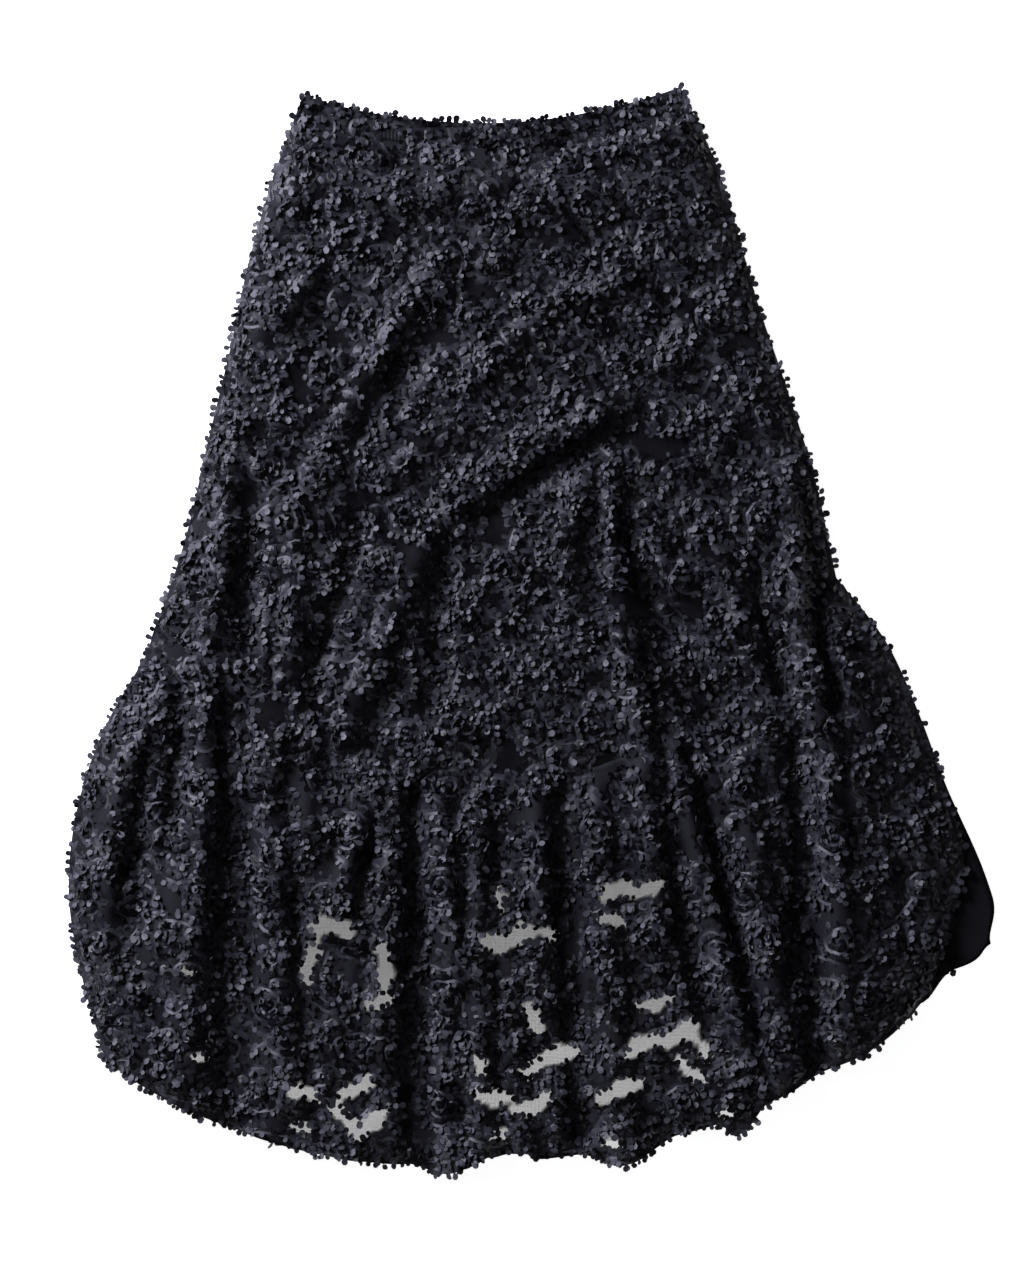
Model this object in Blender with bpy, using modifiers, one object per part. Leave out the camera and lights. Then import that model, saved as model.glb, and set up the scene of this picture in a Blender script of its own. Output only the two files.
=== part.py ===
"""Long two-tier skirt of black rosette lace, laid out flat on its back panels.

The back half lies flat on the plane z = 0. Two plain lining panels lie on it, and the
front half, with all its folds, lies on top. The waist points to +Y and the hem to -Y.
Tables are in millimetres, meshes in metres.
"""

import math
import random
from collections import namedtuple

import bmesh
import bpy
import numpy as np

MM = 0.001

# The middle of the finished outline, measured from the middle of the tables
CENTRE_SHIFT = 6.4

# Cloth
CLOTH = 2.0
LINING = 1.0
BAND = 3.0
LAYER_GAP = 0.3
SEAM_GAP = 0.4

# Waistband, and the length that the shares of each table stand for
BAND_HEIGHT = 21.0
BODY_LENGTH = 560.0
RUFFLE_LENGTH = 385.0

# Heights of the layers above the surface
BACK_TOP = CLOTH
LINING_BACK_BASE = BACK_TOP + LAYER_GAP
LINING_FRONT_BASE = LINING_BACK_BASE + LINING + LAYER_GAP
FRONT_BASE = LINING_FRONT_BASE + LINING + LAYER_GAP
EDGE_BASE = BACK_TOP + LAYER_GAP

# The front lies loose on the lining, and looser in the ruffle
BODY_EASE = 6.5
RUFFLE_EASE = 9.0
SIDE_ROLL = 0.012
SIDE_FADE = 0.08
HEM_FADE = 0.92

# Raised rosettes of the lace
ROSETTE_PITCH = 57.0
ROSETTE_RADIUS = 26.0
ROSETTE_HEIGHT = 3.0
ROSETTE_SHIFT = 7.0
ROSETTE_SEED = 4

# Small gathers under the seam of the ruffle
GATHERS = 38
GATHER_SEED = 11

# Steps of each mesh
BODY_ROWS, BODY_COLUMNS = 34, 36
RUFFLE_ROWS, RUFFLE_COLUMNS = 20, 90
OUTLINE_STEPS = 40
FOLD_STEPS = 10
SHARP_ANGLE = 60

# A section runs from the left side to the right side and hangs by its sag in between.
# A larger curve makes it flatter in the middle and steeper at the sides.
Section = namedtuple("Section", "share left_x left_y right_x right_y sag curve")

SEAM = Section(1.0, -365, -27, 290, 47, 164, 2.3)

BODY = (
    Section(0.00, -216, 504, 142, 512, 30, 2.0),
    Section(0.15, -245, 424, 175, 442, 50, 2.0),
    Section(0.30, -268, 344, 197, 372, 70, 2.0),
    Section(0.45, -285, 264, 217, 303, 90, 2.1),
    Section(0.60, -304, 185, 241, 233, 110, 2.2),
    Section(0.80, -329, 79, 270, 140, 137, 2.3),
    SEAM,
)

RUFFLE_FRONT = (
    SEAM._replace(share=0.0),
    Section(0.20, -405, -98, 337, -13, 169, 2.3),
    Section(0.40, -431, -176, 369, -82, 167, 2.3),
    Section(0.60, -438, -256, 393, -152, 160, 2.3),
    Section(0.80, -425, -335, 403, -233, 148, 2.3),
    Section(1.00, -402, -415, 380, -341, 136, 2.3),
)

RUFFLE_BACK = (
    SEAM._replace(share=0.0),
    Section(0.20, -404, -98, 336, -13, 168, 2.3),
    Section(0.40, -430, -176, 368, -82, 166, 2.3),
    Section(0.60, -437, -256, 396, -154, 162, 2.3),
    Section(0.80, -424, -335, 430, -226, 154, 2.2),
    Section(1.00, -400, -414, 440, -298, 143, 2.0),
)

# The lining hangs straight inside both tiers. These are its sides below the waistband.
LiningRow = namedtuple("LiningRow", "left_x left_y right_x right_y")
LINING_SIDES = (
    LiningRow(-259, 300, 190, 320),
    LiningRow(-297, 120, 248, 150),
    LiningRow(-346, -26, 268, 55),
    LiningRow(-382, -160, 334, -110),
    LiningRow(-399, -295, 372, -282),
)
LINING_INSET = 0.04
LINING_HEM_RISE = 53.0

# The hem of the front drops or rises where its folds pull it
HemShift = namedtuple("HemShift", "x width drop")
HEM_SHIFTS = (
    HemShift(-81, 34, 8),
    HemShift(-22, 34, -15),
    HemShift(92, 48, 17),
    HemShift(222, 66, 19),
    HemShift(335, 56, 24),
)

# A fold runs on a smooth line past its bend. Widths are half widths at its two ends,
# heights are at its start, middle and end, and a hollow has heights below zero.
Fold = namedtuple("Fold", "start bend end widths heights")

BODY_FOLDS = (
    Fold((-215, 400), (-60, 405), (150, 388), (40, 40), (4, 9, 4)),
    Fold((-92, 352), (-138, 268), (-213, 121), (16, 18), (3, 9, 5)),
    Fold((-60, 330), (-100, 262), (-160, 190), (22, 26), (-2, -5, -3)),
    Fold((-92, 352), (-80, 325), (-88, 292), (13, 13), (2, 5, 2)),
    Fold((-190, 366), (-215, 325), (-246, 280), (18, 20), (4, 8, 4)),
    Fold((-196, 400), (-185, 330), (-205, 250), (14, 18), (-2, -5, -2)),
    Fold((34, 314), (-19, 273), (-69, 223), (16, 18), (3, 9, 4)),
    Fold((96, 346), (72, 326), (50, 292), (18, 18), (3, 8, 3)),
    Fold((138, 320), (128, 290), (110, 262), (16, 16), (-2, -6, -2)),
    Fold((95, 214), (30, 196), (-55, 128), (18, 20), (4, 12, 5)),
    Fold((92, 188), (32, 160), (-48, 106), (18, 22), (-5, -10, -6)),
    Fold((-60, 192), (-105, 165), (-158, 120), (16, 16), (3, 8, 3)),
    Fold((-60, 145), (-108, 70), (-172, -96), (15, 22), (4, 12, 9)),
    Fold((-158, 120), (-170, 60), (-184, 0), (18, 19), (-4, -9, -5)),
    Fold((-86, 112), (-84, 40), (-88, -75), (18, 26), (-4, -9, -6)),
    Fold((60, 152), (24, 112), (42, 18), (16, 18), (4, 10, 5)),
    Fold((76, 163), (76, 35), (112, -136), (14, 18), (4, 9, 10)),
    Fold((86, 72), (115, 5), (170, -95), (18, 36), (-4, -12, -13)),
    Fold((112, 112), (118, 65), (150, 10), (15, 15), (3, 7, 3)),
    Fold((175, 72), (200, 10), (226, -70), (15, 16), (3, 9, 6)),
    Fold((200, 394), (184, 362), (168, 332), (17, 16), (3, 7, 2)),
    Fold((214, 72), (217, 10), (238, -60), (13, 14), (-3, -8, -6)),
    Fold((248, 188), (254, 60), (276, -85), (16, 18), (4, 9, 11)),
    Fold((272, 40), (286, -20), (302, -70), (14, 16), (-4, -9, -6)),
    Fold((-289, 149), (-292, 54), (-308, -50), (15, 18), (3, 9, 6)),
    Fold((-262, 130), (-262, 64), (-270, -30), (17, 20), (-4, -9, -6)),
    Fold((-219, 116), (-223, 45), (-230, -69), (15, 17), (3, 9, 6)),
    Fold((-186, 30), (-198, -15), (-206, -66), (14, 15), (-3, -7, -4)),
)

RUFFLE_FOLDS = (
    Fold((-350, -60), (-384, -150), (-386, -262), (17, 20), (3, 8, 3)),
    Fold((-346, -98), (-352, -160), (-358, -225), (15, 18), (-3, -8, -3)),
    Fold((-308, -72), (-314, -200), (-318, -445), (14, 24), (4, 6, 8)),
    Fold((-282, -86), (-280, -230), (-272, -462), (18, 27), (-9, -14, -12)),
    Fold((-240, -92), (-243, -250), (-222, -450), (16, 23), (5, 9, 10)),
    Fold((-205, -100), (-212, -170), (-222, -250), (13, 13), (4, 7, 3)),
    Fold((-218, -205), (-222, -260), (-224, -300), (13, 14), (-2, -6, -2)),
    Fold((-148, -150), (-160, -190), (-192, -290), (13, 15), (4, 9, 6)),
    Fold((-152, -170), (-148, -215), (-162, -268), (13, 14), (-4, -8, -3)),
    Fold((-185, -340), (-192, -430), (-172, -500), (15, 21), (2, 5, 8)),
    Fold((-131, -160), (-131, -250), (-143, -420), (13, 20), (4, 9, 8)),
    Fold((-110, -162), (-106, -300), (-103, -508), (14, 29), (-8, -14, -13)),
    Fold((-86, -162), (-80, -240), (-66, -335), (13, 15), (5, 9, 7)),
    Fold((-50, -165), (-48, -300), (-45, -500), (13, 18), (4, 9, 9)),
    Fold((-30, -168), (-30, -205), (-34, -250), (14, 15), (-2, -7, -2)),
    Fold((-16, -300), (-20, -400), (-6, -500), (14, 18), (2, 5, 8)),
    Fold((8, -158), (10, -240), (8, -350), (13, 16), (5, 9, 6)),
    Fold((30, -158), (33, -290), (50, -475), (15, 23), (-8, -14, -11)),
    Fold((66, -150), (68, -300), (92, -505), (14, 20), (5, 9, 10)),
    Fold((106, -136), (114, -190), (124, -310), (15, 19), (9, 10, 7)),
    Fold((136, -210), (148, -290), (174, -410), (14, 22), (-5, -12, -8)),
    Fold((132, -112), (158, -200), (206, -410), (13, 14), (5, 10, 8)),
    Fold((152, -122), (181, -235), (214, -385), (13, 15), (-6, -11, -6)),
    Fold((208, -96), (220, -250), (244, -435), (15, 22), (5, 10, 9)),
    Fold((246, -110), (260, -240), (276, -405), (20, 28), (-8, -13, -9)),
    Fold((286, -90), (308, -215), (312, -395), (15, 19), (8, 9, 7)),
    Fold((276, -40), (302, -200), (308, -390), (46, 60), (3, 8, 5)),
    Fold((350, -97), (376, -212), (372, -325), (13, 15), (1, 3, 2)),
)

Finish = namedtuple("Finish", "colour roughness")
LACE = Finish((0.016, 0.016, 0.021, 1.0), 0.75)
SATIN = Finish((0.008, 0.008, 0.011, 1.0), 0.38)
ELASTIC = Finish((0.010, 0.010, 0.013, 1.0), 0.85)


def clear_scene():
    for thing in list(bpy.data.objects):
        bpy.data.objects.remove(thing)


def read_section(rows, share):
    """The section at a share of the length, on a smooth curve through the table's rows."""
    shares = np.array([row.share for row in rows])
    values = np.array([row[1:] for row in rows])
    slopes = np.gradient(values, shares, axis=0)
    row = min(max(int(np.searchsorted(shares, share, side="right")) - 1, 0), len(rows) - 2)
    span = shares[row + 1] - shares[row]
    t = (share - shares[row]) / span
    ends = (2 * t**3 - 3 * t**2 + 1) * values[row] + (3 * t**2 - 2 * t**3) * values[row + 1]
    turns = (t**3 - 2 * t**2 + t) * slopes[row] + (t**3 - t**2) * slopes[row + 1]
    return Section(share, *(ends + span * turns))


def plan(rows, share, across):
    """Place on a panel, seen from above, from the left side (0) to the right side (1)."""
    section = read_section(rows, share)
    x = section.left_x + (section.right_x - section.left_x) * across
    chord = section.left_y + (section.right_y - section.left_y) * across
    return x, chord - section.sag * (1 - abs(2 * across - 1) ** section.curve)


def hem_drop(x):
    """How far the front hem hangs below its section at x."""
    return sum(shift.drop * bell(abs(x - shift.x) / shift.width) for shift in HEM_SHIFTS)


def bell(share):
    """A soft bump, 1 at its middle and 0 from its edge outwards."""
    return (1 - np.minimum(share, 1) ** 2) ** 2


def ramp(share):
    """A soft step from 0 to 1."""
    share = np.clip(share, 0, 1)
    return share * share * (3 - 2 * share)


def gathers():
    """Short uneven gathers that run down from the seam of the ruffle."""
    chance = random.Random(GATHER_SEED)
    rows = []
    for number in range(GATHERS):
        across = (number + chance.uniform(0.25, 0.75)) / GATHERS
        lean = chance.uniform(-0.006, 0.006)
        reach = chance.uniform(0.16, 0.36)
        start = plan(RUFFLE_FRONT, 0.01, across)
        bend = plan(RUFFLE_FRONT, reach / 2, across + lean / 2)
        end = plan(RUFFLE_FRONT, reach, across + lean)
        rows.append(Fold(start, bend, end, (11, 12), (1, chance.uniform(2, 3.5), 0)))
    return tuple(rows)


def fold_heights(folds, x, y):
    """Height of all the folds over the points x, y."""
    total = np.zeros_like(x)
    for fold in folds:
        t = np.linspace(0, 1, FOLD_STEPS)[:, None]
        start, bend, end = (np.array(point, dtype=float) for point in fold[:3])
        line = (1 - t) ** 2 * start + 2 * t * (1 - t) * bend + t**2 * end
        nearest = np.full(x.shape, np.inf)
        place = np.zeros_like(x)
        for step in range(FOLD_STEPS - 1):
            ax, ay = line[step]
            run_x, run_y = line[step + 1] - line[step]
            along = ((x - ax) * run_x + (y - ay) * run_y) / (run_x**2 + run_y**2)
            along = np.clip(along, 0, 1)
            distance = np.hypot(x - ax - along * run_x, y - ay - along * run_y)
            place = np.where(distance < nearest, (step + along) / (FOLD_STEPS - 1), place)
            nearest = np.minimum(nearest, distance)
        width = np.interp(place, (0, 1), fold.widths)
        total += np.interp(place, (0, 0.5, 1), fold.heights) * bell(nearest / width)
    return total


def rosette_centres():
    """A staggered net of rosettes over the whole skirt, each a little off its place."""
    chance = random.Random(ROSETTE_SEED)
    row_pitch = ROSETTE_PITCH * 0.87
    centres = []
    for row in range(-11, 12):
        for column in range(-9, 10):
            x = (column + row % 2 / 2) * ROSETTE_PITCH + chance.uniform(-1, 1) * ROSETTE_SHIFT
            y = row * row_pitch + chance.uniform(-1, 1) * ROSETTE_SHIFT
            centres.append((x, y))
    return centres


def rosette_heights(x, y):
    """Each rosette is a raised round with a dimple in its middle."""
    distance = np.full(x.shape, np.inf)
    for centre_x, centre_y in rosette_centres():
        distance = np.minimum(distance, np.hypot(x - centre_x, y - centre_y))
    dome = bell(distance / ROSETTE_RADIUS)
    dimple = bell(distance / (ROSETTE_RADIUS * 0.3))
    return ROSETTE_HEIGHT * (dome - 0.35 * dimple)


def columns_across(count):
    """Even columns, with one more near each side where the front rolls down to the back."""
    return np.concatenate(([0], np.linspace(SIDE_ROLL, 1 - SIDE_ROLL, count - 1), [1]))


def front_points(rows, shares, columns, folds, ease, hem=False):
    """Outer and inner points of a front wall: textured outside, plain inside."""
    x, y = np.array([[plan(rows, share, across) for across in columns] for share in shares]).T
    x, y = x.T, y.T
    across = np.broadcast_to(columns, x.shape)
    share = np.broadcast_to(np.array(shares)[:, None], x.shape)
    if hem:
        y = y - hem_drop(x) * share**2
    from_side = np.minimum(across, 1 - across)
    calm = ramp(from_side / SIDE_FADE)
    lowered = np.minimum(from_side / SIDE_ROLL, 1)
    if hem:
        lowered = lowered * ramp((1 - share) / (1 - HEM_FADE))
    floor = EDGE_BASE + (FRONT_BASE - EDGE_BASE) * lowered

    def lift(px, py):
        return calm * np.maximum(ease(share) + fold_heights(folds, px, py), 0)

    height = lift(x, y)
    slope = np.hypot(lift(x + 1, y) - height, lift(x, y + 1) - height)
    plain = floor + CLOTH + height
    inner = np.maximum(plain - CLOTH * np.sqrt(1 + slope**2), floor)
    outer = plain + calm * rosette_heights(x, y)
    return np.stack((x, y, outer), -1) * MM, np.stack((x, y, inner), -1) * MM


def make_material(name, finish):
    material = bpy.data.materials.new(name)
    material.use_nodes = True
    shader = material.node_tree.nodes["Principled BSDF"]
    shader.inputs["Base Color"].default_value = finish.colour
    shader.inputs["Roughness"].default_value = finish.roughness
    shader.inputs["Metallic"].default_value = 0.0
    return material


def add_object(name, mesh, finish, collection):
    piece = bpy.data.objects.new(name, mesh)
    piece.location.y = CENTRE_SHIFT * MM
    piece.data.materials.append(make_material(name + "_cloth", finish))
    collection.objects.link(piece)
    return piece


def add_wall(name, outer, inner, finish, collection):
    """A closed wall lofted between an outer and an inner grid with the same rows and columns.

    Each cell is split along the diagonal that keeps its level, so that folds stay smooth.
    """
    rows, columns = outer.shape[:2]
    count = rows * columns
    height = outer[..., 2].ravel()

    def at(row, column):
        return row * columns + column

    faces = []
    for row in range(rows - 1):
        for column in range(columns - 1):
            ring = at(row, column), at(row + 1, column), at(row + 1, column + 1), at(row, column + 1)
            if abs(height[ring[1]] - height[ring[3]]) < abs(height[ring[0]] - height[ring[2]]):
                ring = ring[1:] + ring[:1]
            a, b, c, d = ring
            faces += [(a, b, c), (a, c, d)]
            faces += [(count + c, count + b, count + a), (count + d, count + c, count + a)]
    rim = [at(0, column) for column in range(columns)]
    rim += [at(row, columns - 1) for row in range(1, rows)]
    rim += [at(rows - 1, column) for column in range(columns - 2, -1, -1)]
    rim += [at(row, 0) for row in range(rows - 2, 0, -1)]
    for a, b in zip(rim, rim[1:] + rim[:1]):
        faces += [(a, b, count + b), (a, count + b, count + a)]
    mesh = bpy.data.meshes.new(name)
    mesh.from_pydata(np.concatenate((outer, inner)).reshape(-1, 3).tolist(), [], faces)
    mesh.shade_smooth()
    mesh.set_sharp_from_angle(angle=math.radians(SHARP_ANGLE))
    return add_object(name, mesh, finish, collection)


def add_plate(name, outline, base, thickness, finish, collection, edge=0.0):
    """A flat panel: its outline as one face, thickened upwards, with its edge eased if asked."""
    sheet = bmesh.new()
    corners = [sheet.verts.new((x * MM, y * MM, (base + thickness) * MM)) for x, y in outline]
    face = sheet.faces.new(corners)
    face.normal_update()
    if face.normal.z < 0:
        face.normal_flip()
    mesh = bpy.data.meshes.new(name)
    sheet.to_mesh(mesh)
    sheet.free()
    piece = add_object(name, mesh, finish, collection)
    wall = piece.modifiers.new("thickness", "SOLIDIFY")
    wall.thickness = thickness * MM
    wall.offset = -1.0
    if edge:
        soft = piece.modifiers.new("soft edge", "BEVEL")
        soft.width = edge * MM
        soft.segments = 1
        soft.limit_method = "ANGLE"
    return piece


def outline_between(rows, first, last, row_steps):
    """The edge of a panel from one share of its table to another, all the way round."""
    across = np.linspace(0, 1, OUTLINE_STEPS + 1)
    down = np.linspace(first, last, row_steps + 1)
    top = [plan(rows, first, a) for a in across]
    right = [plan(rows, share, 1.0) for share in down[1:]]
    bottom = [plan(rows, last, a) for a in across[-2::-1]]
    left = [plan(rows, share, 0.0) for share in down[-2:0:-1]]
    return top + right + bottom + left


def lining_outline(first):
    """Top edge along the band, straight sides, and a hem that arches up in the middle."""
    across = np.linspace(LINING_INSET, 1 - LINING_INSET, OUTLINE_STEPS + 1)
    top = [plan(BODY, first, a) for a in across]
    right = [(row.right_x, row.right_y) for row in LINING_SIDES]
    left = [(row.left_x, row.left_y) for row in LINING_SIDES]
    hem_row = LINING_SIDES[-1]
    hem = []
    for a in np.linspace(1, 0, OUTLINE_STEPS + 1)[1:-1]:
        x = hem_row.left_x + (hem_row.right_x - hem_row.left_x) * a
        chord = hem_row.left_y + (hem_row.right_y - hem_row.left_y) * a
        hem.append((x, chord + LINING_HEM_RISE * (1 - (2 * a - 1) ** 2)))
    return top + right + hem + left[::-1]


def add_waistband(collection):
    """Two flat halves of a narrow elastic band, one on the other."""
    outline = outline_between(BODY, 0.0, BAND_HEIGHT / BODY_LENGTH, 2)
    add_plate("waistband_back", outline, 0.0, BAND, ELASTIC, collection, edge=0.8)
    add_plate("waistband_front", outline, BAND + LAYER_GAP, BAND, ELASTIC, collection, edge=0.8)


def add_back(collection):
    """The back tiers lie flat, and the ruffle reaches out past the front at the lower right."""
    first = (BAND_HEIGHT + SEAM_GAP) / BODY_LENGTH
    body = outline_between(BODY, first, 1.0, 16)
    add_plate("body_back", body, 0.0, CLOTH, LACE, collection)
    ruffle = outline_between(RUFFLE_BACK, SEAM_GAP / RUFFLE_LENGTH, 1.0, 12)
    add_plate("ruffle_back", ruffle, 0.0, CLOTH, LACE, collection)


def add_lining(collection):
    """Plain satin panels between back and front, free below the waistband."""
    outline = lining_outline((BAND_HEIGHT + SEAM_GAP) / BODY_LENGTH)
    add_plate("lining_back", outline, LINING_BACK_BASE, LINING, SATIN, collection)
    add_plate("lining_front", outline, LINING_FRONT_BASE, LINING, SATIN, collection)


def add_front(collection):
    """The front tiers, with one set of folds that runs on across their seam."""
    folds = BODY_FOLDS + RUFFLE_FOLDS + gathers()
    shares = np.linspace((BAND_HEIGHT + SEAM_GAP) / BODY_LENGTH, 1.0, BODY_ROWS + 1)
    columns = columns_across(BODY_COLUMNS)
    outer, inner = front_points(BODY, shares, columns, folds, lambda share: BODY_EASE)
    add_wall("body_front", outer, inner, LACE, collection)

    shares = np.linspace(SEAM_GAP / RUFFLE_LENGTH, 1.0, RUFFLE_ROWS + 1)
    columns = columns_across(RUFFLE_COLUMNS)
    outer, inner = front_points(
        RUFFLE_FRONT, shares, columns, folds,
        lambda share: BODY_EASE + (RUFFLE_EASE - BODY_EASE) * ramp(share / 0.3), hem=True,
    )
    add_wall("ruffle_front", outer, inner, LACE, collection)


clear_scene()
skirt = bpy.data.collections.new("tiered_lace_maxi_skirt")
bpy.context.scene.collection.children.link(skirt)
add_waistband(skirt)
add_back(skirt)
add_lining(skirt)
add_front(skirt)
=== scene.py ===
import math
import random
from collections import namedtuple

import bpy
import numpy as np
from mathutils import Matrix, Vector


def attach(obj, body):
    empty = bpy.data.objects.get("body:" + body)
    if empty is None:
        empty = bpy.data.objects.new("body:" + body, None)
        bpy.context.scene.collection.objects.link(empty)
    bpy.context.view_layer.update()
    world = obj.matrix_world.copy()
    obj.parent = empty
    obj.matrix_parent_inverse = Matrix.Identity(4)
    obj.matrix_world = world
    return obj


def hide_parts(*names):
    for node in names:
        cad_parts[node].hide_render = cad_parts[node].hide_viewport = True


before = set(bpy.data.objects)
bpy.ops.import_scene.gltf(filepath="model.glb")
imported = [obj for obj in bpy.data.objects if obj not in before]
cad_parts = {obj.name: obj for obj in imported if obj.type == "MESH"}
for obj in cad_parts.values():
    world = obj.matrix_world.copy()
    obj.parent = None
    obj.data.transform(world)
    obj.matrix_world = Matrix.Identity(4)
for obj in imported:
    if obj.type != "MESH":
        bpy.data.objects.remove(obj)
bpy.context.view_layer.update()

# Back of the skirt
# The back body has the front's outline. The back half of the ruffle reaches out past the
# front's at the lower right. Both are black net and lie flat on the surface.

MM = 0.001
NET_THICKNESS = 0.5
BACK_NET_LEVEL = 1.55

# The tables' y starts from a line across the photo. This moves it to the skirt's middle.
CENTRE_SHIFT = 6.4
# The waistband's share of the body's length.
BAND_END = 21.0 / 560.0

# A section runs from the left side to the right side, in mm, and hangs by its sag in between.
# The share is its place along the panel, and a higher curve makes its bottom flatter.
Section = namedtuple("Section", "share left_x left_y right_x right_y sag curve")

SEAM = Section(1.0, -365, -27, 290, 47, 164, 2.3)

BODY = (
    Section(0.00, -216, 504, 142, 512, 30, 2.0),
    Section(0.15, -245, 424, 175, 442, 50, 2.0),
    Section(0.30, -268, 344, 197, 372, 70, 2.0),
    Section(0.45, -285, 264, 217, 303, 90, 2.1),
    Section(0.60, -304, 185, 241, 233, 110, 2.2),
    Section(0.80, -329, 79, 270, 140, 137, 2.3),
    SEAM,
)

RUFFLE_BACK = (
    SEAM._replace(share=0.0),
    Section(0.20, -404, -98, 336, -13, 168, 2.3),
    Section(0.40, -430, -176, 368, -82, 166, 2.3),
    Section(0.60, -437, -256, 396, -154, 162, 2.3),
    Section(0.80, -424, -335, 428, -226, 154, 2.2),
    Section(1.00, -400, -414, 452, -298, 143, 2.0),
)


def read_rows(rows, share):
    """The section at each share of the length, on a smooth curve through the table's rows."""
    shares = np.array([row.share for row in rows])
    values = np.array([row[1:] for row in rows], dtype=float)
    slopes = np.gradient(values, shares, axis=0)
    row = np.clip(np.searchsorted(shares, share, side="right") - 1, 0, len(rows) - 2)
    span = (shares[row + 1] - shares[row])[..., None]
    t = (share - shares[row])[..., None] / span
    ends = (2 * t**3 - 3 * t**2 + 1) * values[row] + (3 * t**2 - 2 * t**3) * values[row + 1]
    turns = (t**3 - 2 * t**2 + t) * slopes[row] + (t**3 - t**2) * slopes[row + 1]
    return np.moveaxis(ends + span * turns, -1, 0)


def plan(rows, share, across):
    """Places seen from above, in mm, from the left side (0) to the right side (1) of a panel."""
    left_x, left_y, right_x, right_y, sag, curve = read_rows(rows, share)
    chord = left_y + (right_y - left_y) * across
    drop = sag * (1 - np.abs(2 * across - 1) ** curve)
    return left_x + (right_x - left_x) * across, chord - drop + CENTRE_SHIFT


BEYOND_PANEL, HALVINGS = 0.08, 15


def unplan(rows, x, y):
    """The share and the place across of points seen from above, found by halving."""
    low, high = np.full_like(x, -BEYOND_PANEL), np.full_like(x, 1 + BEYOND_PANEL)
    for _ in range(HALVINGS):
        share = (low + high) / 2
        left_x, _, right_x = read_rows(rows, share)[:3]
        across = (x - left_x) / (right_x - left_x)
        below = plan(rows, share, across)[1] < y
        low, high = np.where(below, low, share), np.where(below, share, high)
    return share, across


def bell(share):
    """A soft bump, 1 at its middle and 0 from its edge outwards."""
    return (1 - np.minimum(share, 1) ** 2) ** 2


def ramp(share):
    """A soft step from 0 to 1."""
    share = np.clip(share, 0, 1)
    return share * share * (3 - 2 * share)


class Wire:
    """A shader socket that takes part in sums. Each operator adds one Math node."""

    def __init__(self, finish, socket):
        self.finish, self.socket = finish, socket

    def sum(self, operation, first, second):
        return self.finish.node("Math", {"operation": operation}, {0: first, 1: second})

    def __add__(self, other):
        return self.sum("ADD", self, other)

    def __mul__(self, other):
        return self.sum("MULTIPLY", self, other)

    def __rsub__(self, other):
        return self.sum("SUBTRACT", other, self)

    def __gt__(self, other):
        return self.sum("GREATER_THAN", self, other)

    __radd__ = __add__


class Finish:
    """One material: a Principled shader and the nodes that feed it."""

    def __init__(self, name, sockets):
        self.material = bpy.data.materials.new(name)
        self.material.use_nodes = True
        self.tree = self.material.node_tree
        self.shader = self.tree.nodes["Principled BSDF"]
        self.set(sockets)

    def set(self, sockets):
        """Gives sockets of the Principled shader a value or a wire."""
        for name, value in sockets.items():
            self.feed(self.shader.inputs[name], value)

    def feed(self, socket, value):
        if isinstance(value, Wire):
            self.tree.links.new(value.socket, socket)
        else:
            socket.default_value = value

    def node(self, kind, settings=None, inputs=None, output=0):
        """Adds a node and gives back a wire from one of its outputs."""
        node = self.tree.nodes.new("ShaderNode" + kind)
        for name, value in (settings or {}).items():
            setattr(node, name, value)
        for name, value in (inputs or {}).items():
            self.feed(node.inputs[name], value)
        return Wire(self, node.outputs[output])

    def mix(self, factor, first, second):
        """A colour between two others."""
        return self.node(
            "Mix", {"data_type": "RGBA"}, {"Factor": factor, 6: first, 7: second}, output=2
        )

    def bump(self, height, depth):
        """Raises the surface by the height's pattern, at most depth in metres."""
        self.set({"Normal": self.node("Bump", None, {"Height": height, "Distance": depth})})


NET_BLACK = (0.009, 0.009, 0.011, 1.0)
NET_CELL, THREAD_WIDTH, THREAD_DEPTH = 0.0013, 0.07, 0.0001
CELL_COVER, THREAD_COVER = 0.14, 0.3


def net_finish(name):
    """Fine hexagonal net. Its cells hide a little of what is behind them, its threads more."""
    finish = Finish(name, {"Base Color": NET_BLACK, "Roughness": 0.7, "Specular IOR Level": 0.12})
    place = finish.node("UVMap", {"uv_map": "cloth"})
    cells = finish.node(
        "TexVoronoi", {"feature": "DISTANCE_TO_EDGE"},
        {"Vector": place, "Scale": 1 / NET_CELL, "Randomness": 0.25},
    )
    threads = 1 - (cells > THREAD_WIDTH)
    # The doubled mark also carries painted shade over the upper gaps of the ruffle.
    doubled_and_shade = finish.node("Attribute", {"attribute_name": "doubled_and_shade"}, output=2)
    hidden = CELL_COVER + threads * THREAD_COVER
    finish.set({"Alpha": hidden + (1 - hidden) * doubled_and_shade})
    finish.bump(threads, THREAD_DEPTH)
    return finish.material


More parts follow.
